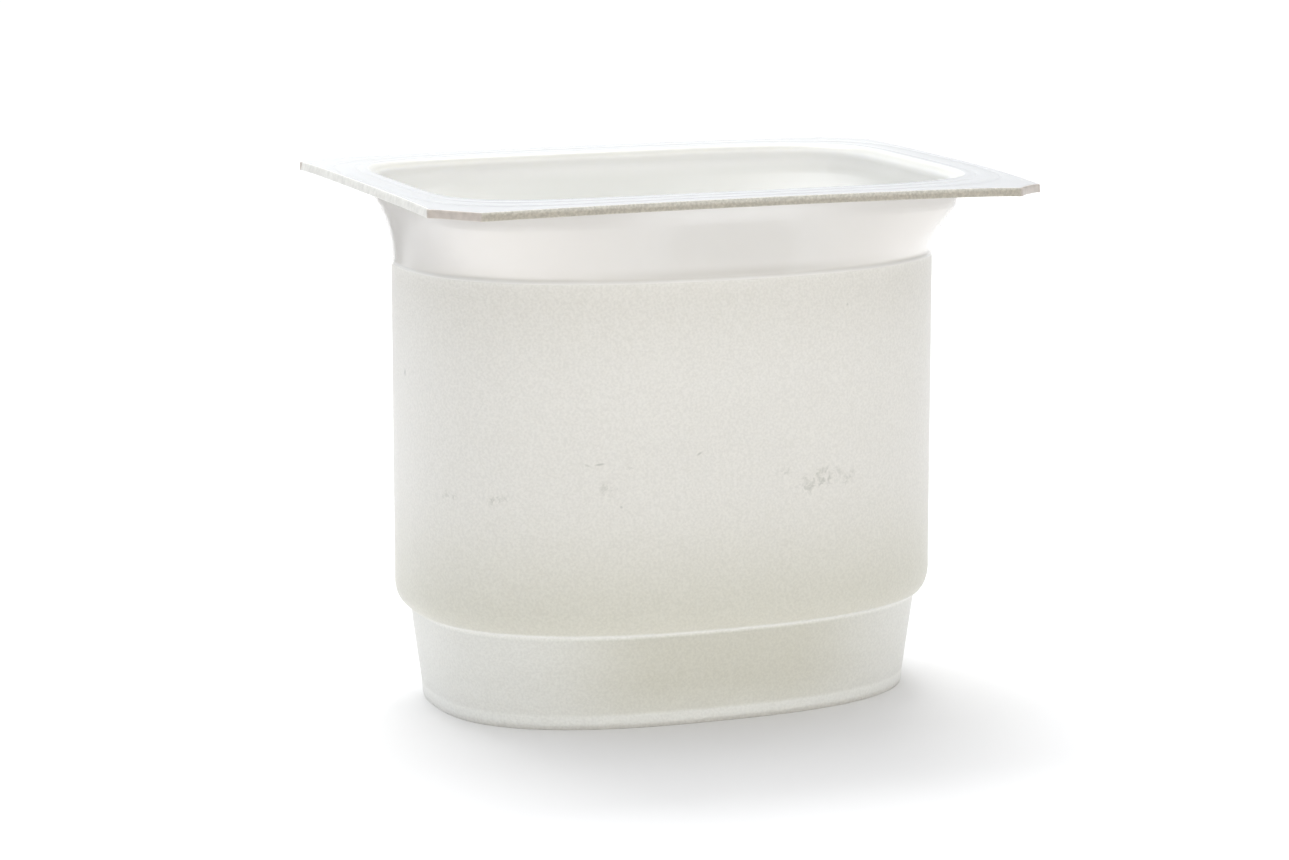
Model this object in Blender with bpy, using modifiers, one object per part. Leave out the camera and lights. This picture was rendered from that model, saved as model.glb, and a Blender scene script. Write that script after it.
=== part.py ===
"""Empty yogurt pot, thermoformed from one sheet: an oval cup under a rectangular flange.

Metres, +Z up. The origin is at the centre of the foot, the flange's long side runs along X,
and the long side that faces the viewer is towards -Y.
"""

import math

import bmesh
import bpy

# Flange: a flat rectangle of unstretched sheet, its corners punched off
FLANGE_LENGTH = 0.0750
FLANGE_WIDTH = 0.0578
FLANGE_THICKNESS = 0.0010
CORNER_CUT = 0.00475
CORNER_SAG = 0.0003
RIM_HEIGHT = 0.06275

# Mouth: a rounded rectangle, measured on the outer skin just under the flange
MOUTH_LENGTH = 0.0645
MOUTH_WIDTH = 0.0437
MOUTH_SQUARENESS = 5.1
LIP_FILLET = 0.00075

# Neck: flares from the oval body to the squarer mouth
FLARE_BOTTOM = 0.0529
FLARE_TOP = 0.0592
FLARE_EASE = 0.15

# Body: an upright oval wall that takes the label
BODY_LENGTH = 0.0654
BODY_WIDTH = 0.0452
BODY_SQUARENESS = 2.34
BODY_BOTTOM = 0.0144
SHOULDER_HEIGHT = 0.0525
SHOULDER_LEDGE = 0.00025

# Base: a narrower tapered cup below the crease
CREASE_HEIGHT = 0.0114
BASE_TOP_LENGTH = 0.0613
BASE_TOP_WIDTH = 0.0409
BASE_LENGTH = 0.0592
BASE_WIDTH = 0.0384
BASE_SQUARENESS = 2.55
BOTTOM_RADIUS = 0.0013
FOOT_WIDTH = 0.0026
FLOOR_RISE = 0.0006
FLOOR_SLOPE = 0.0010

# Sheet left after forming
WALL_THICKNESS = 0.00024
FLOOR_THICKNESS = 0.00030

# Steps along each quarter of the outline: long side's end, punched corner, long side
STEPS_TO_CORNER = 8
STEPS_ON_CORNER = 3
STEPS_FROM_CORNER = 10

# Steps up the outer skin
BOTTOM_STEPS = 3
UNDERSIDE_STEPS = 5
NECK_STEPS = 6
LIP_STEPS = 4

SHARP_ANGLE = math.radians(35)
NEARLY_ZERO = 1e-9

PLASTIC_COLOUR = (0.78, 0.76, 0.72, 1.0)
PLASTIC_ROUGHNESS = 0.38


def clear_scene():
    for old in list(bpy.data.objects):
        bpy.data.objects.remove(old, do_unlink=True)


def outline_angles():
    """Directions round the axis. Each end of the four punched corners has one of its own."""
    half_length = FLANGE_LENGTH / 2
    half_width = FLANGE_WIDTH / 2
    corner_start = math.atan2(half_width - CORNER_CUT, half_length)
    corner_end = math.atan2(half_width, half_length - CORNER_CUT)
    spans = (
        (0.0, corner_start, STEPS_TO_CORNER),
        (corner_start, corner_end, STEPS_ON_CORNER),
        (corner_end, math.pi / 2, STEPS_FROM_CORNER),
    )
    quarter = []
    for start, end, steps in spans:
        quarter += [start + (end - start) * step / steps for step in range(steps)]
    mirrored = [math.pi - angle for angle in reversed(quarter[1:])]
    half_turn = quarter + [math.pi / 2] + mirrored
    return half_turn + [math.pi + angle for angle in half_turn]


def oval(length, width, squareness):
    """Distance from the axis to a superellipse in a given direction."""

    def reach(angle):
        along = abs(math.cos(angle)) * 2 / length
        across = abs(math.sin(angle)) * 2 / width
        return (along**squareness + across**squareness) ** (-1 / squareness)

    return reach


def punched_rectangle(length, width, cut):
    """Distance from the axis to a rectangle whose corners are cut at 45 degrees."""

    def reach(angle):
        along = abs(math.cos(angle))
        across = abs(math.sin(angle))
        ends = length / 2 / max(along, NEARLY_ZERO)
        sides = width / 2 / max(across, NEARLY_ZERO)
        corners = (length / 2 + width / 2 - cut) / (along + across)
        return min(ends, sides, corners)

    return reach


def blend(lower, upper, share):
    """A section part of the way from one outline to another."""
    return lambda angle: lower(angle) * (1 - share) + upper(angle) * share


def foot_rings():
    """The raised middle of the floor, the flat foot that the pot stands on, and its rounded edge."""
    inset = 2 * BOTTOM_RADIUS
    foot_length = BASE_LENGTH - inset
    foot_width = BASE_WIDTH - inset
    rings = []
    for shrink, height in ((FOOT_WIDTH + FLOOR_SLOPE, FLOOR_RISE), (FOOT_WIDTH, 0.0), (0.0, 0.0)):
        length = foot_length - 2 * shrink
        width = foot_width - 2 * shrink
        rings.append((oval(length, width, BASE_SQUARENESS), height, FLOOR_THICKNESS))
    for step in range(1, BOTTOM_STEPS + 1):
        turn = math.pi / 2 * step / BOTTOM_STEPS
        growth = inset * math.sin(turn)
        height = BOTTOM_RADIUS * (1 - math.cos(turn))
        section = oval(foot_length + growth, foot_width + growth, BASE_SQUARENESS)
        rings.append((section, height, WALL_THICKNESS))
    return rings


def base_rings():
    """The tapered base up to the crease, then the body's rounded underside."""
    rings = [(oval(BASE_TOP_LENGTH, BASE_TOP_WIDTH, BASE_SQUARENESS), CREASE_HEIGHT, WALL_THICKNESS)]
    for step in range(1, UNDERSIDE_STEPS + 1):
        turn = math.pi / 2 * step / UNDERSIDE_STEPS
        out = math.sin(turn)
        section = oval(
            BASE_TOP_LENGTH + (BODY_LENGTH - BASE_TOP_LENGTH) * out,
            BASE_TOP_WIDTH + (BODY_WIDTH - BASE_TOP_WIDTH) * out,
            BASE_SQUARENESS + (BODY_SQUARENESS - BASE_SQUARENESS) * out,
        )
        height = CREASE_HEIGHT + (BODY_BOTTOM - CREASE_HEIGHT) * (1 - math.cos(turn))
        rings.append((section, height, WALL_THICKNESS))
    return rings


def neck_root():
    """The oval at the foot of the neck, set in from the label wall by the ledge."""
    ledge = 2 * SHOULDER_LEDGE
    return oval(BODY_LENGTH - ledge, BODY_WIDTH - ledge, BODY_SQUARENESS)


def body_rings():
    """The top of the label wall and the small ledge where the neck starts."""
    wall = oval(BODY_LENGTH, BODY_WIDTH, BODY_SQUARENESS)
    return [
        (wall, (BODY_BOTTOM + SHOULDER_HEIGHT) / 2, WALL_THICKNESS),
        (wall, SHOULDER_HEIGHT - SHOULDER_LEDGE, WALL_THICKNESS),
        (neck_root(), SHOULDER_HEIGHT, WALL_THICKNESS),
    ]


def neck_rings():
    """The flare from oval to rounded rectangle, nearly straight up its slope."""
    lower = neck_root()
    upper = oval(MOUTH_LENGTH, MOUTH_WIDTH, MOUTH_SQUARENESS)
    rings = []
    for step in range(NECK_STEPS + 1):
        rise = step / NECK_STEPS
        eased = rise * rise * (3 - 2 * rise)
        share = rise + (eased - rise) * FLARE_EASE
        height = FLARE_BOTTOM + (FLARE_TOP - FLARE_BOTTOM) * rise
        rings.append((blend(lower, upper, share), height, WALL_THICKNESS))
    return rings


def lip_rings():
    """The upright collar and the fillet that turns out under the flange, thickening as it goes."""
    underside = RIM_HEIGHT - FLANGE_THICKNESS
    rings = []
    for step in range(LIP_STEPS + 1):
        turn = math.pi / 2 * step / LIP_STEPS
        growth = 2 * LIP_FILLET * (1 - math.cos(turn))
        height = underside - LIP_FILLET * (1 - math.sin(turn))
        thickness = WALL_THICKNESS + (FLANGE_THICKNESS - WALL_THICKNESS) * step / LIP_STEPS
        section = oval(MOUTH_LENGTH + growth, MOUTH_WIDTH + growth, MOUTH_SQUARENESS)
        rings.append((section, height, thickness))
    return rings


def flange_ring():
    edge = punched_rectangle(FLANGE_LENGTH, FLANGE_WIDTH, CORNER_CUT)
    return (edge, RIM_HEIGHT - FLANGE_THICKNESS, FLANGE_THICKNESS)


def corner_sag(x, y):
    """How far the flange hangs below the middle of its sides, most of all at its corners."""
    along = abs(x) * 2 / FLANGE_LENGTH
    across = abs(y) * 2 / FLANGE_WIDTH
    return CORNER_SAG * along**2 * across**4


def add_ring(mesh, ring, angles, sags):
    section, height, thickness = ring
    share = mesh.verts.layers.deform.verify()
    corners = []
    for angle in angles:
        reach = section(angle)
        x = reach * math.cos(angle)
        y = reach * math.sin(angle)
        z = height - corner_sag(x, y) if sags else height
        corner = mesh.verts.new((x, y, z))
        corner[share][0] = thickness / FLANGE_THICKNESS
        corners.append(corner)
    return corners


def make_outer_skin():
    """The open outer surface, from the middle of the floor to the flange's edge."""
    angles = outline_angles()
    mesh = bmesh.new()
    share = mesh.verts.layers.deform.verify()
    middle = mesh.verts.new((0.0, 0.0, FLOOR_RISE))
    middle[share][0] = FLOOR_THICKNESS / FLANGE_THICKNESS
    cup = foot_rings() + base_rings() + body_rings() + neck_rings() + lip_rings()
    loops = [add_ring(mesh, ring, angles, False) for ring in cup]
    loops.append(add_ring(mesh, flange_ring(), angles, True))
    count = len(angles)
    for place in range(count):
        following = (place + 1) % count
        mesh.faces.new((middle, loops[0][following], loops[0][place]))
        for inner, outer in zip(loops, loops[1:]):
            mesh.faces.new((inner[place], inner[following], outer[following], outer[place]))
    skin = bpy.data.meshes.new("pot")
    mesh.to_mesh(skin)
    mesh.free()
    return skin


def plastic():
    material = bpy.data.materials.new("milky_polystyrene")
    material.use_nodes = True
    shader = material.node_tree.nodes["Principled BSDF"]
    shader.inputs["Base Color"].default_value = PLASTIC_COLOUR
    shader.inputs["Roughness"].default_value = PLASTIC_ROUGHNESS
    shader.inputs["Metallic"].default_value = 0.0
    material.diffuse_color = PLASTIC_COLOUR
    return material


def make_pot(collection):
    skin = make_outer_skin()
    pot = bpy.data.objects.new("pot", skin)
    collection.objects.link(pot)
    pot.vertex_groups.new(name="sheet thickness")
    skin.materials.append(plastic())
    skin.shade_smooth()
    skin.set_sharp_from_angle(angle=SHARP_ANGLE)
    sheet = pot.modifiers.new("Sheet", "SOLIDIFY")
    sheet.thickness = FLANGE_THICKNESS
    sheet.offset = -1.0
    sheet.vertex_group = "sheet thickness"
    sheet.use_even_offset = True
    return pot


def main():
    clear_scene()
    collection = bpy.data.collections.new("yogurt_pot")
    bpy.context.scene.collection.children.link(collection)
    make_pot(collection)


main()
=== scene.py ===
"""Looks of an empty yogurt pot, thermoformed from one sheet of milky polystyrene.

The visible pot is one closed skin, lofted ring by ring from the outside of the floor, over the
snapped edge of the flange and down to the inside of the floor. Metres, +Z up, as in the frame.
"""

import math

import bpy
import numpy as np
from bpy.props import FloatProperty, FloatVectorProperty, IntProperty, PointerProperty
from bpy.types import Operator, Panel, PropertyGroup
from mathutils import Matrix, Vector


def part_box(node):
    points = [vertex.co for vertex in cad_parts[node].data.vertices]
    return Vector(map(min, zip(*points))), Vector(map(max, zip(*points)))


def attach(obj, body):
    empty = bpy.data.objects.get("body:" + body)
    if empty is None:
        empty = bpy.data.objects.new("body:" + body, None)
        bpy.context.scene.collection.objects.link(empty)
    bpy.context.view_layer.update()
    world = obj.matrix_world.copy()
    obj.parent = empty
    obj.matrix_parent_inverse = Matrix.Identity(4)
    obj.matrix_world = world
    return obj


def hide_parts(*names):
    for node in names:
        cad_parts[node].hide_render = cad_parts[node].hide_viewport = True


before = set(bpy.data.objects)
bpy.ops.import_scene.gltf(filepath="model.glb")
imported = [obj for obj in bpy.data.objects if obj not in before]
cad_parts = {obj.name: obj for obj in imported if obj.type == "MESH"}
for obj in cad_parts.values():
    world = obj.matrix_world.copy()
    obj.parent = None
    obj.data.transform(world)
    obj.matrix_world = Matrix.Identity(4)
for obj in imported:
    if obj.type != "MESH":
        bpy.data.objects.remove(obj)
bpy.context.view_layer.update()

bl_info = {
    "name": "Thermoformed yogurt pot",
    "version": (1, 0, 0),
    "blender": (4, 5, 0),
    "location": "3D View > Sidebar > Yogurt pot",
    "description": "Builds an empty form-fill-seal yogurt pot and a small studio for it",
    "category": "Object",
}

POT_LOW, POT_HIGH = (Vector(corner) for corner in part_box("pot"))

MM = 0.001
NEARLY_ZERO = 1e-9

# Sides of the room that glow, by the name of their colour and brightness
ROOM_SIDES = {
    "left": Vector((-1, 0, 0)),
    "right": Vector((1, 0, 0)),
    "front": Vector((0, -1, 0)),
    "back": Vector((0, 1, 0)),
    "ceiling": Vector((0, 0, 1)),
}

# The softboxes, the grey flag and the table, in metres
KEY_PLACE = Vector((0.05, 0.52, 1.03))
KEY_SIZE = (0.8, 0.5)
TOP_PLACE = Vector((0.0, 0.2, 1.1))
TOP_SIZE = (0.5, 0.5)
FLAG_SPAN = (-0.135, -0.06)
FLAG_DEPTH = 0.3
FLAG_HEIGHT = 0.06
LIGHTS_AIM = Vector((0, 0, 0.03))
TABLE_HALF = 2.5

# Order of the material slots on the pot
GRAINED = 0
POLISHED = 1
GLOSSY = 2
INSIDE = 3
SNAPPED = 4
SHEARED = 5
PUNCHED = 6


def length(name, description, default):
    """A size in metres that the sidebar shows in the scene's own unit."""
    return FloatProperty(
        name=name, description=description, default=default, min=0.0, unit="LENGTH", precision=5
    )


def number(name, description, default, unit="NONE"):
    return FloatProperty(name=name, description=description, default=default, unit=unit)


def angle(name, description, degrees):
    return FloatProperty(
        name=name, description=description, default=math.radians(degrees), subtype="ANGLE"
    )


def colour(name, description, code):
    """A colour from its sRGB code."""
    return FloatVectorProperty(
        name=name,
        description=description,
        default=from_hex(code),
        size=4,
        subtype="COLOR",
        min=0,
        max=1,
    )


def wall_light(name, description, radiance):
    """Radiance of one side of the room, linear RGB."""
    return FloatVectorProperty(name=name, description=description, default=radiance, size=3, min=0)


def from_hex(code):
    """Linear RGBA from an sRGB code such as #E4E1D9."""
    channels = [int(code[place : place + 2], 16) / 255 for place in (1, 3, 5)]
    linear = [c / 12.92 if c <= 0.04045 else ((c + 0.055) / 1.055) ** 2.4 for c in channels]
    return (*linear, 1.0)


class PotSizes(PropertyGroup):
    """Everything that sets the pot's form. Lengths of ovals are measured over the outer skin."""

    flange_length: length("Flange length", "Long side of the flange", POT_HIGH.x - POT_LOW.x)
    flange_width: length("Flange width", "Short side of the flange", POT_HIGH.y - POT_LOW.y)
    flange_thickness: length("Flange thickness", "Sheet as supplied, not stretched", 1.0 * MM)
    rim_height: length("Rim height", "Top of the flange above the table", POT_HIGH.z)
    corner_hollow: length("Corner hollow", "How far the punched cut bows in", 0.08 * MM)
    corner_sag: length("Corner sag", "Droop of the flange's corners", 0.3 * MM)
    bent_corner: length("Bent corner", "Further droop of the right front corner", 0.7 * MM)
    mouth_length: length("Mouth length", "Long side of the mouth", 64.5 * MM)
    mouth_width: length("Mouth width", "Short side of the mouth", 43.7 * MM)
    mouth_squareness: number("Mouth squareness", "Superellipse power", 5.1)
    lip_fillet: length("Lip fillet", "Radius between neck and flange, underneath", 0.75 * MM)
    flare_bottom: length("Flare bottom", "Height at which the neck starts to flare", 53.25 * MM)
    flare_top: length("Flare top", "Height at which the collar under the flange starts", 59.2 * MM)
    flare_ease: number("Flare ease", "0 for a straight flare, 1 for an S", 0.15)
    body_length: length("Body length", "Long side of the label wall", 65.4 * MM)
    body_width: length("Body width", "Short side of the label wall", 45.2 * MM)
    body_squareness: number("Body squareness", "Superellipse power", 2.34)
    body_bottom: length("Body bottom", "Height at which the label wall turns in", 14.4 * MM)
    shoulder_height: length("Shoulder height", "Top of the label wall", 53.15 * MM)
    shoulder_round: length("Shoulder round", "Height over which the wall steps in", 0.6 * MM)
    shoulder_ledge: length("Shoulder ledge", "Step in from the label wall to the neck", 0.08 * MM)
    crease_height: length("Crease height", "Where the base starts", 11.4 * MM)
    crease_radius: length("Crease radius", "Inner radius of the crease", 0.35 * MM)
    base_top_length: length("Base length, top", "Long side of the base at the crease", 61.3 * MM)
    base_top_width: length("Base width, top", "Short side of the base at the crease", 40.9 * MM)
    base_length: length("Base length, bottom", "Long side of the base at the foot", 58.9 * MM)
    base_width: length("Base width, bottom", "Short side of the base at the foot", 37.9 * MM)
    base_squareness: number("Base squareness", "Superellipse power", 2.55)
    bottom_height: length("Bottom height", "Height of the round above the foot", 1.5 * MM)
    bottom_inset: length("Bottom inset", "How far that round brings the foot in", 0.25 * MM)
    foot_width: length("Foot width", "Flat ring that the pot stands on", 2.6 * MM)
    floor_rise: length("Floor rise", "Height of the floor above the foot", 0.6 * MM)
    floor_slope: length("Floor slope", "Width of the step up to the floor", 1.0 * MM)
    foot_dish: length("Foot dish", "How far the foot ring rises towards its inner edge", 0.12 * MM)
    wall: length("Wall", "Stretched sheet of the walls", 0.24 * MM)
    floor: length("Floor", "Stretched sheet of the floor", 0.3 * MM)
    inner_seal_line: length("Inner seal line", "From the lip to the first pressed line", 1.1 * MM)
    outer_seal_line: length("Outer seal line", "From the lip to the second pressed line", 3.5 * MM)
    seal_line_width: length("Seal line width", "Width of a pressed line", 0.45 * MM)
    seal_line_depth: length("Seal line depth", "Depth of a pressed line", 0.06 * MM)
    snap_roughness: length("Snap roughness", "Depth of the snapped edge's grain", 0.05 * MM)
    score_depth: length("Score depth", "Part of the edge that the scoring blade cut clean", 0.24 * MM)
    end_slant: length("End slant", "How far the left end leans out towards its lower arris", 0.2 * MM)
    rays_per_quarter: IntProperty(name="Rays", description="Facets round a quarter", default=120)


class PotFinish(PropertyGroup):
    """Colours of the plastic, as sRGB, with painted light and shade in several of them."""

    # Painted shade and light up the label wall: darker under the shoulder, palest at mid-height, darker
    # and a little olive just above the crease
    top_wall_shade: colour("Top of the wall", "Grained label wall under the shoulder", "#D2CFCA")
    upper_wall_glow: colour("Upper wall", "Grained label wall, where the sheet is thicker", "#DAD7D3")
    wall_foot_shade: colour("Foot of the wall", "Grained label wall just above the crease", "#CBC9C0")
    # Painted shade along the middle of the base's long sides, painted light towards its ends
    base_shade: colour("Base", "Grained base, long sides", "#CBC9C0")
    base_ends_lit: colour("Base ends", "Grained base, short ends", "#DDDCD8")
    # Pale colour painted on as light: bands at the crease, round the foot and at the shoulder
    turn: colour("Turns", "Crease and round above the foot, where more sheet is left", "#F5F4EF")
    neck: colour("Neck", "Outside of the neck in the middle of the long sides", "#DCD9D7")
    # Painted shade towards the neck's ends
    neck_corner_shade: colour("Neck corners", "Outside of the neck where the flare thins the sheet", "#C8C5C3")
    # Painted shade in the hollow at the foot of the neck
    neck_root_shade: colour("Neck root", "Foot of the neck, next to the shoulder", "#C7C4C1")
    # Painted highlight on the ledge between the neck and the label wall
    shoulder_highlight: colour("Shoulder", "Narrow ledge between the neck and the label wall", "#E8E5E2")
    smooth: colour("Smooth", "Flange, where the sheet is as it came off the roll", "#CACBCD")
    # Painted light on the flange's far side
    smooth_far_lit: colour("Smooth far side", "Flange's far side, which light comes through", "#D4D5D6")
    inside: colour("Inside", "Inner face, which no mould touched", "#EDEEE9")
    # Painted light on the inside just under the lip
    inside_top_lit: colour("Inside top", "Inner face just under the lip", "#F8F8F4")
    inside_lip: colour("Inside lip", "Round between the inner face and the flange", "#DDDDD9")
    snapped: colour("Snapped edge", "Rough edge where the pots were broken apart", "#BBB6AA")
    scored: colour("Scored edge", "Smoother strip along the top of the snapped edge", "#CFCCC3")
    sheared: colour("Sheared edge", "Edge at the flange's short ends", "#E4E3DE")
    punched: colour("Punched edge", "Clean edge of the cut corners", "#C9C1BA")
    scuff: colour("Scuff", "Grey rubbed marks on the label wall", "#A9A9A5")


class StudioSetup(PropertyGroup):
    """Light, table and camera."""

    table: colour("Table", "Matt white laminate", "#F7F7F7")
    flag: colour("Flag", "Grey card that the neck reflects", "#CBCBCB")
    left: wall_light("Left wall", "Light of the room's left wall", (0.07, 0.09, 0.115))
    right: wall_light("Right wall", "Light of the room's right wall", (0.03, 0.03, 0.03))
    front: wall_light("Front wall", "Light of the room behind the camera", (0.48, 0.43, 0.34))
    back: wall_light("Back wall", "Light of the room behind the pot", (1.06, 1.08, 1.09))
    ceiling: wall_light("Ceiling", "Light of the ceiling", (1.51, 1.53, 1.57))
    key_power: number("Key light", "Softbox behind and above", 5.8, "POWER")
    top_power: number("Top light", "Softbox overhead", 1.4, "POWER")
    turn: angle("Turn", "Camera's angle from the front", 21.309)
    pitch: angle("Pitch", "How far the camera looks down", 10.489)
    distance: length("Distance", "From the camera to the plane through the foot's centre", 0.46631)
    aim_right: length("Aim right", "How far right of the picture's centre the pot's axis lies", 0.0023)
    aim_up: length("Aim up", "How far above the foot's centre the camera aims", 0.03084)
    lens: number("Lens", "Focal length for a 36 mm sensor, in mm", 107.13)


# Directions round the axis


# What the punch took off each corner, in mm, by quadrant from +X +Y anticlockwise: along the
# short end and along the long side
CORNER_CUTS = ((4.75, 4.75), (3.75, 4.75), (4.75, 4.75), (4.75, 4.9))


def quarter_directions(sizes, cut_on_end, cut_on_side):
    """Angles from the long axis up to the short one, dense at the cut corner."""
    half_length = sizes.flange_length / 2
    half_width = sizes.flange_width / 2
    start = math.atan2(half_width - cut_on_end * MM, half_length)
    end = math.atan2(half_width, half_length - cut_on_side * MM)
    on_corner = sizes.rays_per_quarter // 5
    before = (sizes.rays_per_quarter - on_corner) * 2 // 5
    after = sizes.rays_per_quarter - on_corner - before
    packed = math.pi / 2 * 0.8
    up_to = start * np.sin(np.arange(before) / before * packed) / math.sin(packed)
    across = start + (end - start) * (0.5 - 0.5 * np.cos(np.arange(on_corner) / on_corner * math.pi))
    rest = np.arange(after, 0, -1) / after
    beyond = math.pi / 2 - (math.pi / 2 - end) * np.sin(rest * packed) / math.sin(packed)
    return np.concatenate((up_to, across, beyond))


def directions(sizes):
    """Angles round the axis, dense at the punched corners, whose ends each have one."""
    first, second, third, fourth = (quarter_directions(sizes, *cuts) for cuts in CORNER_CUTS)
    upper_half = np.concatenate((first, [math.pi / 2], math.pi - second[:0:-1]))
    lower_half = np.concatenate((third, [math.pi / 2], math.pi - fourth[:0:-1]))
    return np.concatenate((upper_half, math.pi + lower_half))


def oval(angles, across_x, across_y, squareness):
    """Distance from the axis to a superellipse in each direction."""
    along = np.abs(np.cos(angles)) * 2 / across_x
    across = np.abs(np.sin(angles)) * 2 / across_y
    return (along**squareness + across**squareness) ** (-1 / squareness)


def ring(angles, reach, height):
    """Points of one section."""
    return np.column_stack((reach * np.cos(angles), reach * np.sin(angles), height + 0 * reach))


# The outer skin, from the foot up to the underside of the flange. Each step of it is a ring of
# points, the thickness of the sheet there and the finish of the band that starts there.

# How far the label wall is uneven
WALL_SWAY = 0.02 * MM


def foot(angles, s):
    """The floor, its step down to the foot ring, and the round above the ring."""
    inset = 2 * s.bottom_inset
    long_side = s.base_length - inset
    short_side = s.base_width - inset
    inner = s.foot_width + s.floor_slope
    steps = []
    for share in (0.25, 0.5, 0.75, 0.95):
        reach = share * oval(angles, long_side - 2 * inner, short_side - 2 * inner, s.base_squareness)
        steps.append((ring(angles, reach, s.floor_rise), s.floor, GLOSSY))
    for step in range(7):
        rise = step / 6
        eased = rise * rise * (3 - 2 * rise)
        shrink = 2 * (s.foot_width + s.floor_slope * (1 - rise))
        reach = oval(angles, long_side - shrink, short_side - shrink, s.base_squareness)
        height = s.foot_dish + (s.floor_rise - s.foot_dish) * (1 - eased)
        steps.append((ring(angles, reach, height), s.floor, GLOSSY))
    for step in range(10):
        turn = math.pi / 2 * step / 9
        growth = inset * math.sin(turn)
        reach = oval(angles, long_side + growth, short_side + growth, s.base_squareness)
        height = s.bottom_height * (1 - math.cos(turn))
        steps.append((ring(angles, reach, height), s.floor + (s.wall - s.floor) * step / 9, GRAINED))
    return steps


def base(angles, s):
    """The tapered wall between the foot and the crease."""
    steps = []
    count = 12
    top = s.crease_height - s.crease_radius
    for step in range(1, count + 1):
        rise = step / count
        height = s.bottom_height + (top - s.bottom_height) * rise
        long_side = s.base_length + (s.base_top_length - s.base_length) * rise
        short_side = s.base_width + (s.base_top_width - s.base_width) * rise
        reach = oval(angles, long_side, short_side, s.base_squareness)
        steps.append((ring(angles, reach, height), s.wall, GRAINED))
    return steps


def underside(angles, s):
    """The crease and the body's rounded turn-in above it."""
    steps = []
    for step in range(15):
        rise = step / 14
        turn = math.pi / 2 * rise
        out = math.sin(turn)
        reach = oval(
            angles,
            s.base_top_length + (s.body_length - s.base_top_length) * out,
            s.base_top_width + (s.body_width - s.base_top_width) * out,
            s.base_squareness + (s.body_squareness - s.base_squareness) * out,
        )
        height = s.crease_height + (s.body_bottom - s.crease_height) * (1 - math.cos(turn))
        steps.append((ring(angles, reach, height), s.wall, GRAINED))
    return steps


def label_wall(angles, s):
    """The upright wall, very slightly uneven as formed sheet is, and its ledge under the neck."""
    steps = []
    count = 24
    top = s.shoulder_height - s.shoulder_round
    for step in range(1, count + 1):
        rise = step / count
        height = s.body_bottom + (top - s.body_bottom) * rise
        reach = oval(angles, s.body_length, s.body_width, s.body_squareness)
        sway = np.sin(3 * angles + 9 * rise) * np.sin(5 * angles - 5 * rise) * math.sin(math.pi * rise)
        steps.append((ring(angles, reach - WALL_SWAY * (1 + sway), height), s.wall, GRAINED))
    for step in range(1, 9):
        rise = step / 8
        shrink = 2 * s.shoulder_ledge * rise * rise * (3 - 2 * rise)
        reach = oval(angles, s.body_length - shrink, s.body_width - shrink, s.body_squareness)
        steps.append((ring(angles, reach, top + s.shoulder_round * rise), s.wall, POLISHED))
    return steps


def neck(angles, s):
    """The flare from the oval body to the rounded rectangle of the mouth."""
    shrink = 2 * s.shoulder_ledge
    lower = oval(angles, s.body_length - shrink, s.body_width - shrink, s.body_squareness)
    upper = oval(angles, s.mouth_length, s.mouth_width, s.mouth_squareness)
    steps = []
    count = 20
    for step in range(count + 1):
        rise = step / count
        eased = rise * rise * (3 - 2 * rise)
        share = rise + (eased - rise) * s.flare_ease
        height = s.flare_bottom + (s.flare_top - s.flare_bottom) * rise
        steps.append((ring(angles, lower + (upper - lower) * share, height), s.wall, POLISHED))
    return steps


def lip(angles, s):
    """The collar and the fillet that turns out under the flange, where the sheet thickens."""
    under = s.rim_height - s.flange_thickness
    collar_top = under - s.lip_fillet
    steps = []
    for rise in (0.35, 0.7):
        height = s.flare_top + (collar_top - s.flare_top) * rise
        reach = oval(angles, s.mouth_length, s.mouth_width, s.mouth_squareness)
        steps.append((ring(angles, reach, height), s.wall, POLISHED))
    for step in range(13):
        turn = math.pi / 2 * step / 12
        growth = 2 * s.lip_fillet * (1 - math.cos(turn))
        reach = oval(angles, s.mouth_length + growth, s.mouth_width + growth, s.mouth_squareness)
        height = collar_top + s.lip_fillet * math.sin(turn)
        thickness = s.wall + (s.flange_thickness - s.wall) * step / 12
        steps.append((ring(angles, reach, height), thickness, POLISHED))
    return steps


def skin_normals(rings):
    """Outward directions on a grid of rings."""
    grid = np.array(rings)
    up = np.gradient(grid, axis=0)
    around = np.roll(grid, -1, axis=1) - np.roll(grid, 1, axis=1)
    normals = np.cross(around, up)
    return normals / np.linalg.norm(normals, axis=2, keepdims=True)


# The flange


def side_reach(angles, s, inset):
    """Distance from the axis to the flange's straight sides, as if it had no cut corners."""
    ends = (s.flange_length / 2 - inset) / np.maximum(np.abs(np.cos(angles)), NEARLY_ZERO)
    sides = (s.flange_width / 2 - inset) / np.maximum(np.abs(np.sin(angles)), NEARLY_ZERO)
    return np.minimum(ends, sides)


def corner_cuts(angles):
    """Quadrant of each direction, and how far that corner is cut along the end and the side."""
    quadrant = (angles // (math.pi / 2)).astype(int) % 4
    cuts = np.array(CORNER_CUTS)[quadrant] * MM
    return quadrant, cuts[:, 0], cuts[:, 1]


def corner_reach(angles, s, inset):
    """Distance from the axis to the punched corners, which bow in a little."""
    quadrant, on_end, on_side = corner_cuts(angles)
    along = np.abs(np.cos(angles))
    across = np.abs(np.sin(angles))
    level = s.flange_length / 2 / on_side + s.flange_width / 2 / on_end - 1
    level -= inset * np.hypot(1 / on_side, 1 / on_end)
    reach = level / (along / on_side + across / on_end)
    share = np.clip((reach * along - s.flange_length / 2 + on_side) / on_side, 0, 1)
    return reach - 4 * share * (1 - share) * s.corner_hollow


# Spurs left where the snapped sides meet the punched corners: how far each runs on past the
# corner's end, in mm, by quadrant from +X +Y anticlockwise, on the X side and on the Y side
SPURS = ((0.35, 0.5), (0.4, 0.45), (0.4, 0.2), (0.3, 0.45))


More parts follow.
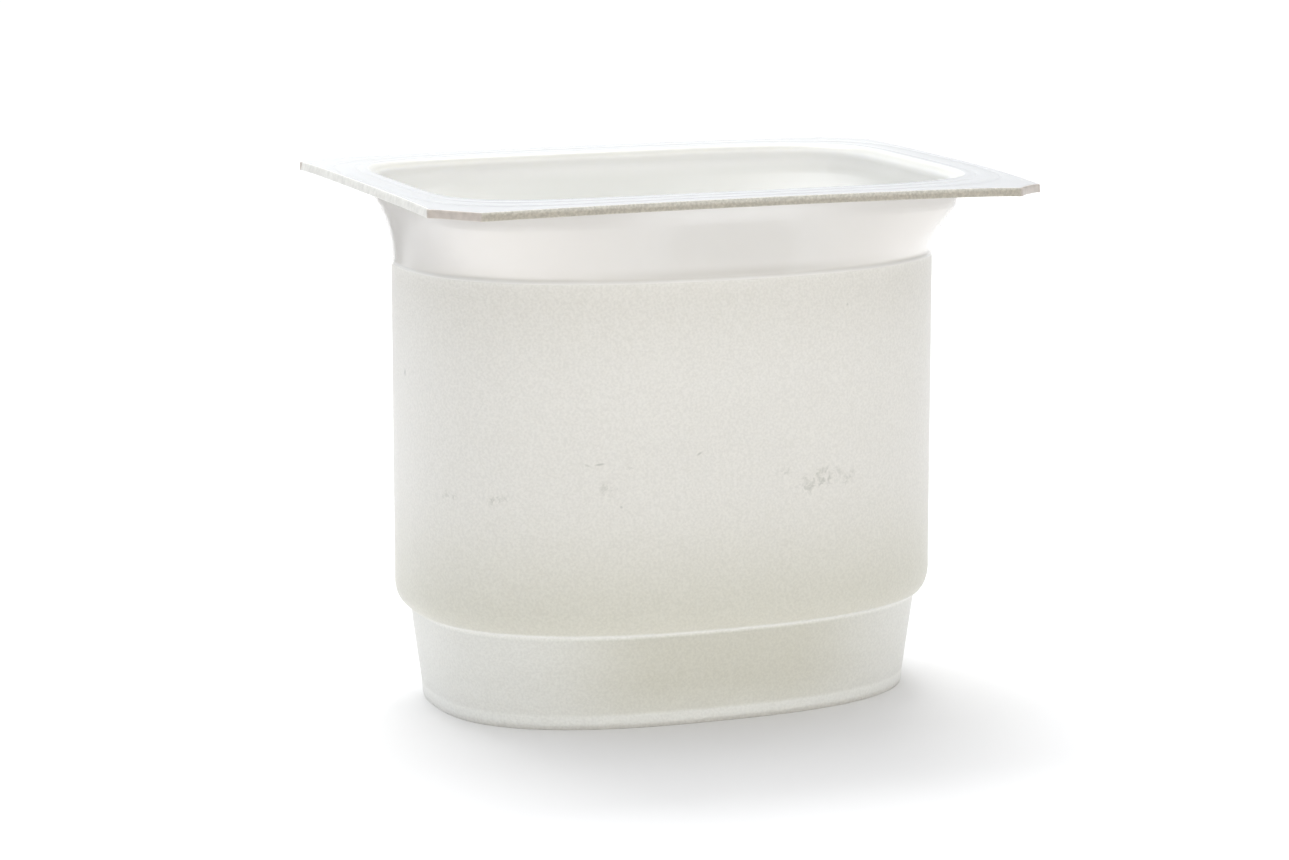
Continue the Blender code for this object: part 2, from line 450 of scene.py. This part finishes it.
def edge_reach(angles, s, inset, spur_share):
    """The flange's outline with its cut corners and the spurs at their ends."""
    sides = side_reach(angles, s, inset)
    corners = corner_reach(angles, s, inset)
    reach = np.minimum(sides, corners)
    x = np.abs(reach * np.cos(angles))
    y = np.abs(reach * np.sin(angles))
    quadrant, cut_on_end, cut_on_side = corner_cuts(angles)
    past_end = y - (s.flange_width / 2 - cut_on_end)
    past_side = x - (s.flange_length / 2 - cut_on_side)
    for place, (spur_on_end, spur_on_side) in enumerate(SPURS):
        here = (quadrant == place) & (corners < sides)
        for past, size in ((past_end, spur_on_end * MM), (past_side, spur_on_side * MM)):
            stands = np.clip(1 - past / size, 0, 1) ** 0.7 * spur_share
            grown = corners + (sides - corners) * stands
            reach = np.where(here & (past < size), np.maximum(reach, grown), reach)
    return reach


def sag(points, s):
    """How far the flange hangs below the middle of its sides."""
    along = np.abs(points[:, 0]) * 2 / s.flange_length
    across = np.abs(points[:, 1]) * 2 / s.flange_width
    right_front = (points[:, 0] > 0) & (points[:, 1] < 0)
    return s.corner_sag * along**2 * across**4 + s.bent_corner * along**12 * across**2 * right_front


def on_short_end(angles, s):
    """Whether a direction meets one of the flange's two short ends."""
    ends = s.flange_length / np.maximum(np.abs(np.cos(angles)), NEARLY_ZERO)
    sides = s.flange_width / np.maximum(np.abs(np.sin(angles)), NEARLY_ZERO)
    return (ends < sides) & (side_reach(angles, s, 0) < corner_reach(angles, s, 0))


def on_flange(angles, s, reach, height):
    points = ring(angles, reach, height)
    points[:, 2] -= sag(points, s)
    return points


def crumble(angles, s, seed):
    """Uneven depth of the snapped edge, in metres, the same each time for one seed."""
    coarse = np.random.default_rng(seed).random(len(angles))
    smooth = (coarse + np.roll(coarse, 1)) / 2
    return smooth * s.snap_roughness


# Edge of the flange: how far its underside and its flat top stop short of the outline, the least
# depth that the edge is broken back, and the inset and drop of each step of the upper arris, in mm
UNDER_INSET = 0.12 * MM
TOP_INSET = 0.6 * MM
LEAST_BREAK = 0.02 * MM
UPPER_ARRIS = ((0.03, 0.09), (0.05, 0.04), (0.1, 0.01), (0.17, 0.0))


def flange_under(angles, s):
    """The flat underside between the fillet and the edge."""
    start = oval(
        angles, s.mouth_length + 2 * s.lip_fillet, s.mouth_width + 2 * s.lip_fillet, s.mouth_squareness
    )
    end = edge_reach(angles, s, UNDER_INSET, 0.6)
    level = s.rim_height - s.flange_thickness
    shares = (0.3, 0.6, 0.85, 1.0)
    return [on_flange(angles, s, start + (end - start) * share, level) for share in shares]


def flange_edge(angles, s):
    """Up the edge: the torn lower arris, the snapped face and the strip that the blade scored."""
    on_corner = corner_reach(angles, s, 0) < side_reach(angles, s, 0)
    left_end = on_short_end(angles, s) & (np.cos(angles) < 0)
    snapped_top = s.flange_thickness - s.score_depth
    heights = [0.03 * MM] + [snapped_top * share for share in (0.25, 0.5, 0.75, 1.0)]
    rings = []
    for place, height in enumerate(heights):
        rough = LEAST_BREAK + np.where(on_corner, 0, crumble(angles, s, 11 + place))
        rough += np.where(left_end, s.end_slant * height / s.flange_thickness, 0)
        reach = edge_reach(angles, s, 0, 1 - 0.5 * height / s.flange_thickness) - rough
        rings.append(on_flange(angles, s, reach, s.rim_height - s.flange_thickness + height))
    for inset, drop in UPPER_ARRIS:
        reach = edge_reach(angles, s, inset * MM, 0.4) - np.where(left_end, s.end_slant, 0)
        rings.append(on_flange(angles, s, reach, s.rim_height - drop * MM))
    return rings


def flange_top(angles, s):
    """Inwards over the top, across the two lines that the sealing tool pressed."""
    edge = edge_reach(angles, s, TOP_INSET, 0)
    rings = []

    def offset(distance):
        growth = 2 * (s.lip_fillet + distance)
        return oval(angles, s.mouth_length + growth, s.mouth_width + growth, s.mouth_squareness)

    outermost = np.minimum(offset(s.outer_seal_line + s.seal_line_width), edge)
    rings.append(on_flange(angles, s, edge, s.rim_height))
    rings.append(on_flange(angles, s, (edge + outermost) / 2, s.rim_height))
    for line in (s.outer_seal_line, s.inner_seal_line):
        for side in (0.5, 0.3, 0.15, 0.0, -0.15, -0.3, -0.5):
            depth = s.seal_line_depth * math.cos(math.pi * side) ** 2
            reach = np.minimum(offset(line + side * s.seal_line_width), edge - 0.02 * MM * (1 - side))
            rings.append(on_flange(angles, s, reach, s.rim_height - depth))
        if line == s.outer_seal_line:
            middle = (s.outer_seal_line + s.inner_seal_line) / 2
            rings.append(on_flange(angles, s, offset(middle), s.rim_height))
    rings.append(on_flange(angles, s, offset(0.4 * MM), s.rim_height))
    return rings


# The mesh


def pot_rings(s):
    """All rings in order round the sheet's section, and the finish of the band after each."""
    angles = directions(s)
    steps = foot(angles, s) + base(angles, s) + underside(angles, s)
    steps += label_wall(angles, s) + neck(angles, s) + lip(angles, s)
    outer, thicknesses, finishes = (list(column) for column in zip(*steps))
    inner = np.array(outer) - skin_normals(outer) * np.array(thicknesses)[:, None, None]
    under = flange_under(angles, s)
    edge = flange_edge(angles, s)
    top = flange_top(angles, s)
    rings = outer + under + edge + top + list(inner[::-1])
    finishes += [GLOSSY] * (len(under) - 1) + [SNAPPED] * len(edge)
    finishes += [GLOSSY] * (len(top) + 1) + [INSIDE] * (len(outer) - 1)
    return angles, rings, finishes


def fill_bands(rings, finishes, angles, s):
    """Faces between neighbouring rings, and a fan at each end."""
    count = len(angles)
    along = np.arange(count)
    following = np.roll(along, -1)
    on_corner = corner_reach(angles, s, 0) < side_reach(angles, s, 0)
    on_end = on_short_end(angles, s)
    faces = []
    slots = []
    for place in range(len(rings) - 1):
        low = place * count
        high = low + count
        band = np.column_stack((low + along, low + following, high + following, high + along))
        faces += band.tolist()
        if finishes[place] == SNAPPED:
            slots += np.where(on_corner, PUNCHED, np.where(on_end, SHEARED, SNAPPED)).tolist()
        else:
            slots += [finishes[place]] * count
    first = len(rings) * count
    last = first + 1
    top = (len(rings) - 1) * count
    faces += [(first, following[i], i) for i in along.tolist()]
    faces += [(last, top + i, top + int(following[i])) for i in along.tolist()]
    slots += [GLOSSY] * count + [INSIDE] * count
    return faces, slots


def build_skin(s):
    angles, rings, finishes = pot_rings(s)
    faces, slots = fill_bands(rings, finishes, angles, s)
    centres = [(0, 0, s.floor_rise), (0, 0, s.floor_rise + s.floor)]
    corners = np.concatenate([*rings, np.array(centres)])
    mesh = bpy.data.meshes.new("yogurt_pot_skin")
    mesh.from_pydata(corners.tolist(), [], [[int(i) for i in face] for face in faces])
    mesh.polygons.foreach_set("material_index", slots)
    mesh.shade_smooth()
    mesh.set_sharp_from_angle(angle=math.radians(50))
    mesh.validate()
    return mesh


# Materials


def set_inputs(tree, node, inputs):
    """Gives each input its value, or a link where the value is another node's socket."""
    for name, value in inputs.items():
        if isinstance(value, bpy.types.NodeSocket):
            tree.links.new(value, node.inputs[name])
        else:
            node.inputs[name].default_value = value


def add_node(tree, kind, inputs=None, **settings):
    """Adds a node and sets its properties and inputs."""
    node = tree.nodes.new(kind)
    for name, value in settings.items():
        setattr(node, name, value)
    set_inputs(tree, node, inputs or {})
    return node


def new_material(name):
    """An empty material with its shader and an output."""
    material = bpy.data.materials.new(name)
    material.use_nodes = True
    tree = material.node_tree
    tree.nodes.clear()
    shader = add_node(tree, "ShaderNodeBsdfPrincipled")
    add_node(tree, "ShaderNodeOutputMaterial", {"Surface": shader.outputs["BSDF"]})
    return material, tree, shader


def milky(tree, shader, roughness, weight=1.0):
    """Polystyrene filled with a little white: light runs a millimetre or so inside it."""
    inputs = {
        "IOR": 1.59,
        "Roughness": roughness,
        "Subsurface Weight": weight,
        "Subsurface Radius": (1.0, 0.98, 0.93),
        "Subsurface Scale": 1.2 * MM,
    }
    set_inputs(tree, shader, inputs)


def near_height(tree, height, level, half_width):
    """1 at one height on the pot, fading to 0 at half_width above and below it."""
    off = add_node(tree, "ShaderNodeMath", {0: height, 1: level}, operation="SUBTRACT")
    gap = add_node(tree, "ShaderNodeMath", {0: off.outputs["Value"]}, operation="ABSOLUTE")
    limits = {"From Min": 0.0, "From Max": half_width, "To Min": 1.0, "To Max": 0.0}
    inputs = {"Value": gap.outputs["Value"], **limits}
    return add_node(tree, "ShaderNodeMapRange", inputs, interpolation_type="SMOOTHSTEP").outputs["Result"]


def greatest(tree, values):
    """The greatest of several values."""
    total = values[0]
    for value in values[1:]:
        both = add_node(tree, "ShaderNodeMath", {0: total, 1: value}, operation="MAXIMUM")
        total = both.outputs["Value"]
    return total


def graded(tree, value, start, stop, first, second):
    """A colour that passes from the first to the second while a value goes from start to stop."""
    inputs = {"Value": value, "From Min": start, "From Max": stop}
    share = add_node(tree, "ShaderNodeMapRange", inputs, interpolation_type="SMOOTHSTEP")
    inputs = {0: share.outputs["Result"], 6: first, 7: second}
    return add_node(tree, "ShaderNodeMix", inputs, data_type="RGBA").outputs[2]


def speckled(tree, grain, span, tints, tone):
    """A colour made darker and paler as a noise goes over a span of its values."""
    limits = {"From Min": span[0], "From Max": span[1], "To Min": tints[0], "To Max": tints[1]}
    tint = add_node(tree, "ShaderNodeMapRange", {"Value": grain.outputs["Fac"], **limits})
    inputs = {0: 1.0, 6: tone, 7: tint.outputs["Result"]}
    return add_node(tree, "ShaderNodeMix", inputs, data_type="RGBA", blend_type="MULTIPLY").outputs[2]


# Scuffs on the label wall, in mm: centre, half length, half height and slope in degrees, strength
SCUFFS = (
    ((10.9, -21.9, 28.6), 4.6, 2.0, -14, 1.0),
    ((6.2, -22.3, 30.0), 2.2, 0.9, 5, 0.7),
    ((14.9, -21.0, 28.3), 1.8, 1.1, -25, 0.9),
    ((-14.9, -21.0, 29.0), 1.9, 1.5, 20, 0.7),
    ((-12.6, -21.6, 31.2), 0.7, 1.6, -20, 0.6),
    ((-30.4, -10.0, 27.5), 2.6, 0.9, -12, 0.7),
    ((-26.8, -15.2, 27.6), 2.4, 1.0, -8, 0.8),
    ((-22.3, -18.1, 26.8), 2.2, 0.9, 10, 0.4),
)

# Single specks, in mm: centre, half length, half height and slope in degrees, strength
SPECKS = (
    ((-32.7, -0.7, 40.5), 0.25, 0.55, 0, 1.0),
    ((-16.0, -20.7, 32.0), 0.7, 0.16, -8, 0.8),
    ((-17.4, -20.3, 31.9), 0.5, 0.14, 25, 0.4),
    ((-4.5, -22.5, 32.8), 0.45, 0.16, -30, 0.7),
    ((14.5, -21.1, 48.8), 0.2, 0.2, 0, 0.6),
    ((-13.6, -21.3, 27.0), 0.2, 0.2, 0, 0.6),
)


def marked_spots(tree, place, spots):
    """1 inside any of some flat ovals on the wall, fading out to 0 at their rims."""
    shares = []
    for centre, half_length, half_height, slope, strength in spots:
        heading = math.atan2(centre[1], centre[0]) + math.pi / 2
        inputs = {
            "Vector": place,
            "Location": [value * MM for value in centre],
            "Rotation": (0, math.radians(slope), heading),
            "Scale": (half_length * MM, 2 * half_length * MM, half_height * MM),
        }
        oval_space = add_node(tree, "ShaderNodeMapping", inputs, vector_type="TEXTURE").outputs["Vector"]
        reach = add_node(tree, "ShaderNodeVectorMath", {0: oval_space}, operation="LENGTH")
        limits = {"From Min": 0.2, "From Max": 1.1, "To Min": strength, "To Max": 0.0}
        inputs = {"Value": reach.outputs["Value"], **limits}
        inside = add_node(tree, "ShaderNodeMapRange", inputs, interpolation_type="SMOOTHSTEP")
        shares.append(inside.outputs["Result"])
    return greatest(tree, shares)


def scuff_share(tree, place):
    """How much scuff shows: broken flecks inside the scuffed areas, and the single specks."""
    inputs = {"Scale": 1 / (0.7 * MM), "Detail": 3.0, "Roughness": 0.6, "Distortion": 0.6}
    flecks = add_node(tree, "ShaderNodeTexNoise", {"Vector": place, **inputs})
    area = marked_spots(tree, place, SCUFFS)
    inputs = {0: area, 1: 0.16, 2: flecks.outputs["Fac"]}
    reached = add_node(tree, "ShaderNodeMath", inputs, operation="MULTIPLY_ADD")
    limits = {"From Min": 0.58, "From Max": 0.76, "To Min": 0.0, "To Max": 0.7}
    broken = add_node(tree, "ShaderNodeMapRange", {"Value": reached.outputs["Value"], **limits})
    inside = add_node(tree, "ShaderNodeMath", {0: broken.outputs["Result"], 1: area}, operation="MULTIPLY")
    return greatest(tree, (inside.outputs["Value"], marked_spots(tree, place, SPECKS)))


# Where the painted light and shade of the base and the neck change, from the middle of a long side to its
# ends
BASE_SHADE_SPAN = (8 * MM, 24 * MM)
NECK_SHADE_SPAN = (3 * MM, 20 * MM)

# Where the painted shade and light change up the label wall: over the crease, then up to one height and
# from another
ABOVE_CREASE = 0.6 * MM
UPPER_WALL_FROM = 29 * MM
TOP_WALL_FROM = 40 * MM


def painted_glow(tree, height, sizes):
    """Up to 1 where painted light goes on as pale bands: crease, foot and, a little, the shoulder."""
    # Painted glow at the crease, just above the foot and at the table
    sharp = (
        (sizes.crease_height, 0.55 * MM),
        (sizes.bottom_height - 0.25 * MM, 0.8 * MM),
        (0.0, 2.2 * MM),
    )
    # Broad painted light towards the table, and a little painted highlight at the shoulder
    soft = (
        (0.0, 6.0 * MM, 0.35),
        (sizes.shoulder_height - 0.45 * MM, 0.45 * MM, 0.15),
    )
    total = greatest(tree, [near_height(tree, height, level, width) for level, width in sharp])
    for level, width, strength in soft:
        inputs = {0: near_height(tree, height, level, width), 1: strength, 2: total}
        total = add_node(tree, "ShaderNodeMath", inputs, operation="MULTIPLY_ADD").outputs["Value"]
    return add_node(tree, "ShaderNodeMath", {0: total, 1: 1.0}, operation="MINIMUM").outputs["Value"]


def grained_polystyrene(finish, sizes):
    """Thermoformed polystyrene taken up from a sandblasted mould: a satin, pebbled skin.

    Its colour has painted light and shade in it: pale bands at the crease, above the foot and at the
    shoulder, darker and a little olive low on the wall and along the base, paler at the base's ends and in
    the middle of the wall.
    """
    material, tree, shader = new_material("thermoformed_polystyrene_grained")
    place = add_node(tree, "ShaderNodeTexCoord").outputs["Object"]
    axes = add_node(tree, "ShaderNodeSeparateXYZ", {"Vector": place})
    height = axes.outputs["Z"]
    off_middle = add_node(tree, "ShaderNodeMath", {0: axes.outputs["X"]}, operation="ABSOLUTE")
    # Painted shade in the middle of the base's long sides, painted light at its ends
    low = graded(tree, off_middle.outputs["Value"], *BASE_SHADE_SPAN, finish.base_shade, finish.base_ends_lit)
    # Painted shade low on the wall and under the shoulder, painted light at mid-height
    crease_top = sizes.crease_height + ABOVE_CREASE
    shaded_foot_of_wall = graded(tree, height, sizes.crease_height, crease_top, low, finish.wall_foot_shade)
    middle = graded(tree, height, crease_top, UPPER_WALL_FROM, shaded_foot_of_wall, finish.upper_wall_glow)
    wall = graded(tree, height, TOP_WALL_FROM, sizes.shoulder_height, middle, finish.top_wall_shade)
    # Painted light: the pale colour laid on in bands at the crease, the foot and the shoulder
    inputs = {0: painted_glow(tree, height, sizes), 6: wall, 7: finish.turn}
    painted_paler = add_node(tree, "ShaderNodeMix", inputs, data_type="RGBA")
    # The foot is thick enough to send light straight back
    inputs = {"Value": height, "From Min": 0.2 * MM, "From Max": 0.8 * MM}
    through = add_node(tree, "ShaderNodeMapRange", inputs, interpolation_type="SMOOTHSTEP")
    milky(tree, shader, 0.42, through.outputs["Result"])
    # Pebbles of the mould's blasted face, about 0.3 mm across
    inputs = {"Vector": place, "Scale": 1 / (0.3 * MM), "Detail": 2.0, "Roughness": 0.5}
    pebbles = add_node(tree, "ShaderNodeTexNoise", inputs)
    pebbled = speckled(tree, pebbles, (0.35, 0.65), (0.91, 1.0), painted_paler.outputs[2])
    inputs = {0: scuff_share(tree, place), 6: pebbled, 7: finish.scuff}
    scuffed = add_node(tree, "ShaderNodeMix", inputs, data_type="RGBA")
    inputs = {"Height": pebbles.outputs["Fac"], "Strength": 0.6, "Distance": 0.08 * MM}
    bump = add_node(tree, "ShaderNodeBump", inputs)
    set_inputs(tree, shader, {"Base Color": scuffed.outputs[2], "Normal": bump.outputs["Normal"]})
    return material


def glossy_polystyrene(name, roughness):
    """Thermoformed polystyrene against a polished mould or free air: a glossy skin."""
    material, tree, shader = new_material(name)
    milky(tree, shader, roughness)
    place = add_node(tree, "ShaderNodeTexCoord").outputs["Object"]
    # Flow of the stretched sheet, a few millimetres across
    inputs = {"Vector": place, "Scale": 1 / (4.0 * MM), "Detail": 1.0, "Roughness": 0.4}
    flow = add_node(tree, "ShaderNodeTexNoise", inputs)
    inputs = {"Height": flow.outputs["Fac"], "Strength": 0.3, "Distance": 0.05 * MM}
    bump = add_node(tree, "ShaderNodeBump", inputs)
    set_inputs(tree, shader, {"Normal": bump.outputs["Normal"]})
    axes = add_node(tree, "ShaderNodeSeparateXYZ", {"Vector": place}).outputs
    return material, tree, shader, axes


def neck_polystyrene(finish, sizes):
    """Thermoformed polystyrene against the polished part of the mould, with painted shade at its ends and
    at its root and a painted highlight on the ledge under it.
    """
    material, tree, shader, axes = glossy_polystyrene("polystyrene_from_polished_mould", 0.12)
    off_middle = add_node(tree, "ShaderNodeMath", {0: axes["X"]}, operation="ABSOLUTE")
    # Painted shade towards the neck's ends
    tone = graded(tree, off_middle.outputs["Value"], *NECK_SHADE_SPAN, finish.neck, finish.neck_corner_shade)
    # Painted shade at the neck's root and a painted highlight on the ledge under it
    for level, reach, shade in (
        (sizes.shoulder_height, 1.4 * MM, finish.neck_root_shade),
        (sizes.shoulder_height - 0.5 * MM, 0.55 * MM, finish.shoulder_highlight),
    ):
        inputs = {0: near_height(tree, axes["Z"], level, reach), 6: tone, 7: shade}
        tone = add_node(tree, "ShaderNodeMix", inputs, data_type="RGBA").outputs[2]
    set_inputs(tree, shader, {"Base Color": tone})
    return material


def inner_polystyrene(finish, sizes):
    """Thermoformed polystyrene on the side that met only air, with painted light making it paler under the
    lip, and darker on the lip's round.
    """
    material, tree, shader, axes = glossy_polystyrene("polystyrene_free_face", 0.25)
    under_lip = sizes.rim_height - 1.8 * MM
    lip_start = sizes.rim_height - 0.85 * MM
    lip_end = sizes.rim_height - 0.35 * MM
    # Painted light: paler inside just under the lip
    painted_paler = graded(tree, axes["Z"], sizes.flare_top, under_lip, finish.inside, finish.inside_top_lit)
    tone = graded(tree, axes["Z"], lip_start, lip_end, painted_paler, finish.inside_lip)
    set_inputs(tree, shader, {"Base Color": tone})
    return material


def sheet_polystyrene(finish, sizes):
    """Polystyrene sheet as it came off the roll, painted a little paler on the far side, where more light
    comes through it.
    """
    material, tree, shader, axes = glossy_polystyrene("polystyrene_sheet_face", 0.2)
    tone = graded(tree, axes["Y"], 0.0, sizes.mouth_width / 2, finish.smooth, finish.smooth_far_lit)
    set_inputs(tree, shader, {"Base Color": tone})
    return material


def snapped_edge(finish, sizes):
    """Broken polystyrene sheet: a coarse, crumbly face under a smoother scored strip."""
    material, tree, shader = new_material("snapped_polystyrene_edge")
    milky(tree, shader, 0.6, 0.3)
    place = add_node(tree, "ShaderNodeTexCoord").outputs["Object"]
    height = add_node(tree, "ShaderNodeSeparateXYZ", {"Vector": place}).outputs["Z"]
    strip_start = sizes.rim_height - 0.65 * sizes.flange_thickness
    strip_full = sizes.rim_height - 0.25 * sizes.flange_thickness
    face = graded(tree, height, strip_start, strip_full, finish.snapped, finish.scored)
    # Crumbs of the break, about 0.3 mm across
    inputs = {"Vector": place, "Scale": 1 / (0.3 * MM), "Detail": 3.0, "Roughness": 0.6}
    crumbs = add_node(tree, "ShaderNodeTexNoise", inputs)
    tone = speckled(tree, crumbs, (0.35, 0.68), (0.87, 1.18), face)
    inputs = {"Height": crumbs.outputs["Fac"], "Strength": 0.8, "Distance": 0.1 * MM}
    bump = add_node(tree, "ShaderNodeBump", inputs)
    set_inputs(tree, shader, {"Base Color": tone, "Normal": bump.outputs["Normal"]})
    return material


def punched_edge(name, tone):
    """Sheared polystyrene sheet: smooth and a little waxy."""
    material, tree, shader = new_material(name)
    milky(tree, shader, 0.35, 0.3)
    place = add_node(tree, "ShaderNodeTexCoord").outputs["Object"]
    inputs = {"Vector": place, "Scale": 1 / (0.8 * MM), "Detail": 2.0}
    streaks = add_node(tree, "ShaderNodeTexNoise", inputs)
    set_inputs(tree, shader, {"Base Color": speckled(tree, streaks, (0.3, 0.7), (0.9, 1.08), tone)})
    return material


def plain_sheet(name, tone, roughness, specular):
    """A matt sheet of one colour for the studio, such as laminate or card."""
    material, tree, shader = new_material(name)
    inputs = {"Base Color": tone, "Roughness": roughness, "Specular IOR Level": specular}
    set_inputs(tree, shader, inputs)
    return material


# Operators


class YOGURTPOT_OT_pot(Operator):
    """Builds the pot's skin with its finishes and puts it in place of the plain solid"""

    bl_idname = "yogurtpot.pot"
    bl_label = "Pot"

    def execute(self, context):
        sizes = context.scene.yogurtpot_sizes
        finish = context.scene.yogurtpot_finish
        mesh = build_skin(sizes)
        for material in (
            grained_polystyrene(finish, sizes),
            neck_polystyrene(finish, sizes),
            sheet_polystyrene(finish, sizes),
            inner_polystyrene(finish, sizes),
            snapped_edge(finish, sizes),
            punched_edge("sheared_polystyrene_edge", finish.sheared),
            punched_edge("punched_polystyrene_edge", finish.punched),
        ):
            mesh.materials.append(material)
        pot = bpy.data.objects.new("yogurt_pot_skin", mesh)
        context.scene.collection.objects.link(pot)
        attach(pot, "root")
        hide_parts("pot")
        return {"FINISHED"}


class YOGURTPOT_OT_studio(Operator):
    """Adds the table, the room's light, the softboxes and the camera"""

    bl_idname = "yogurtpot.studio"
    bl_label = "Studio"

    def execute(self, context):
        setup = context.scene.yogurtpot_studio
        lay_table(context, setup)
        light_room(context, setup)
        hang_softbox(context, "key_softbox", setup.key_power, KEY_PLACE, KEY_SIZE)
        hang_softbox(context, "top_softbox", setup.top_power, TOP_PLACE, TOP_SIZE)
        stand_flag(context, setup)
        place_camera(context, setup)
        context.scene.view_settings.view_transform = "Standard"
        return {"FINISHED"}


def lay_table(context, setup):
    corners = [(x * TABLE_HALF, y * TABLE_HALF, 0) for x, y in ((-1, -1), (1, -1), (1, 1), (-1, 1))]
    mesh = bpy.data.meshes.new("laminate_table")
    mesh.from_pydata(corners, [], [(0, 1, 2, 3)])
    # Pressed white laminate
    mesh.materials.append(plain_sheet("matt_white_laminate", setup.table, 0.9, 0.2))
    table = bpy.data.objects.new("laminate_table", mesh)
    context.scene.collection.objects.link(table)


def light_room(context, setup):
    """A white room whose walls and ceiling each glow in their own tone and fade into each other."""
    world = bpy.data.worlds.new("white_room")
    world.use_nodes = True
    tree = world.node_tree
    tree.nodes.clear()
    direction = add_node(tree, "ShaderNodeTexCoord").outputs["Generated"]
    total = None
    for side, axis in ROOM_SIDES.items():
        facing = add_node(tree, "ShaderNodeVectorMath", {0: direction, 1: axis}, operation="DOT_PRODUCT")
        inputs = {0: facing.outputs["Value"], 1: 0.0}
        ahead = add_node(tree, "ShaderNodeMath", inputs, operation="MAXIMUM")
        share = add_node(tree, "ShaderNodeMath", {0: ahead.outputs["Value"], 1: 2.0}, operation="POWER")
        inputs = {0: getattr(setup, side), "Scale": share.outputs["Value"]}
        glow = add_node(tree, "ShaderNodeVectorMath", inputs, operation="SCALE")
        light = glow.outputs["Vector"]
        if total is not None:
            both = add_node(tree, "ShaderNodeVectorMath", {0: total, 1: light}, operation="ADD")
            light = both.outputs["Vector"]
        total = light
    shine = add_node(tree, "ShaderNodeBackground", {"Color": total})
    add_node(tree, "ShaderNodeOutputWorld", {"Surface": shine.outputs["Background"]})
    context.scene.world = world


def hang_softbox(context, name, power, place, size):
    light = bpy.data.lights.new(name, "AREA")
    light.shape = "RECTANGLE"
    light.size, light.size_y = size
    light.energy = power
    softbox = bpy.data.objects.new(name, light)
    softbox.location = place
    aim = LIGHTS_AIM - softbox.location
    softbox.rotation_euler = aim.to_track_quat("-Z", "Y").to_euler()
    context.scene.collection.objects.link(softbox)


def stand_flag(context, setup):
    """A grey card behind the pot on the left, which only shows as a reflection in the glossy neck."""
    left, right = FLAG_SPAN
    outline = ((left, 0), (right, 0), (right, FLAG_HEIGHT), (left, FLAG_HEIGHT))
    mesh = bpy.data.meshes.new("dark_flag")
    mesh.from_pydata([(x, FLAG_DEPTH, z) for x, z in outline], [], [(0, 1, 2, 3)])
    # Uncoated grey board
    mesh.materials.append(plain_sheet("matt_grey_board", setup.flag, 1.0, 0.0))
    flag = bpy.data.objects.new("dark_flag", mesh)
    flag.visible_camera = False
    flag.visible_diffuse = False
    flag.visible_shadow = False
    flag.visible_transmission = False
    context.scene.collection.objects.link(flag)


def place_camera(context, setup):
    """Camera from its turn, pitch and distance, and where the pot's axis lies in the picture."""
    turn, pitch = setup.turn, setup.pitch
    right = Vector((math.cos(turn), -math.sin(turn), 0))
    level = math.cos(pitch)
    ahead = Vector((math.sin(turn) * level, math.cos(turn) * level, -math.sin(pitch)))
    up = right.cross(ahead)
    data = bpy.data.cameras.new("camera")
    data.sensor_width = 36
    data.lens = setup.lens
    data.clip_start = 0.01
    camera = bpy.data.objects.new("camera", data)
    spot = -right * setup.aim_right + up * setup.aim_up - ahead * setup.distance
    axes = Matrix((right, up, -ahead)).transposed().to_4x4()
    camera.matrix_world = Matrix.Translation(spot) @ axes
    context.scene.collection.objects.link(camera)
    context.scene.camera = camera


class YOGURTPOT_PT_sidebar(Panel):
    """Lists the sizes, the colours and the two builders"""

    bl_idname = "YOGURTPOT_PT_sidebar"
    bl_label = "Yogurt pot"
    bl_space_type = "VIEW_3D"
    bl_region_type = "UI"
    bl_category = "Yogurt pot"

    def draw(self, context):
        for group in ("yogurtpot_sizes", "yogurtpot_finish", "yogurtpot_studio"):
            values = getattr(context.scene, group)
            box = self.layout.box()
            for name in values.bl_rna.properties.keys():
                if name not in ("rna_type", "name"):
                    box.prop(values, name)
        self.layout.operator(YOGURTPOT_OT_pot.bl_idname)
        self.layout.operator(YOGURTPOT_OT_studio.bl_idname)


CLASSES = (
    PotSizes,
    PotFinish,
    StudioSetup,
    YOGURTPOT_OT_pot,
    YOGURTPOT_OT_studio,
    YOGURTPOT_PT_sidebar,
)


def register():
    for kind in CLASSES:
        bpy.utils.register_class(kind)
    bpy.types.Scene.yogurtpot_sizes = PointerProperty(type=PotSizes)
    bpy.types.Scene.yogurtpot_finish = PointerProperty(type=PotFinish)
    bpy.types.Scene.yogurtpot_studio = PointerProperty(type=StudioSetup)


def unregister():
    del bpy.types.Scene.yogurtpot_studio
    del bpy.types.Scene.yogurtpot_finish
    del bpy.types.Scene.yogurtpot_sizes
    for kind in reversed(CLASSES):
        bpy.utils.unregister_class(kind)


def main():
    register()
    bpy.ops.yogurtpot.pot()
    bpy.ops.yogurtpot.studio()


if __name__ == "__main__":
    main()
